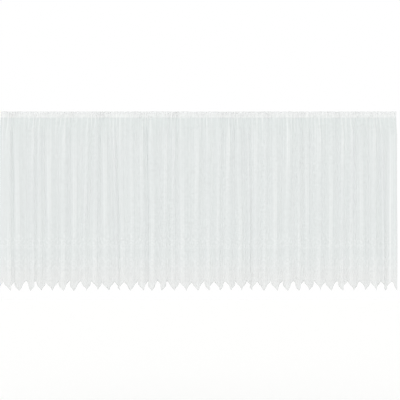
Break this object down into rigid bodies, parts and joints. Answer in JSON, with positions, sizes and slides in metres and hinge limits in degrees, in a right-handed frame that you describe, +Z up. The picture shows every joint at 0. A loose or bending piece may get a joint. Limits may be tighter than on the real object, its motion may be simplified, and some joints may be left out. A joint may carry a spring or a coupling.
{
  "type": "net curtain",
  "caption": "Wide, short sheer net curtain, gathered on a tape along its top edge, with a lace border above a hem cut to points.",
  "frame": {"origin": "middle of the top edge, in the plane about which the folds swing", "axes": "+X along the curtain to the right of someone who faces it, +Y from its front to its back, +Z up"},
  "size_m": [3.0506, 0.0692, 1.37],
  "materials": {
    "net": "sheer knitted polyester net",
    "tape": "woven gathering tape"
  },
  "bodies": {
    "root": {"net_panel": "net", "heading_tape": "tape"}
  },
  "joints": []
}
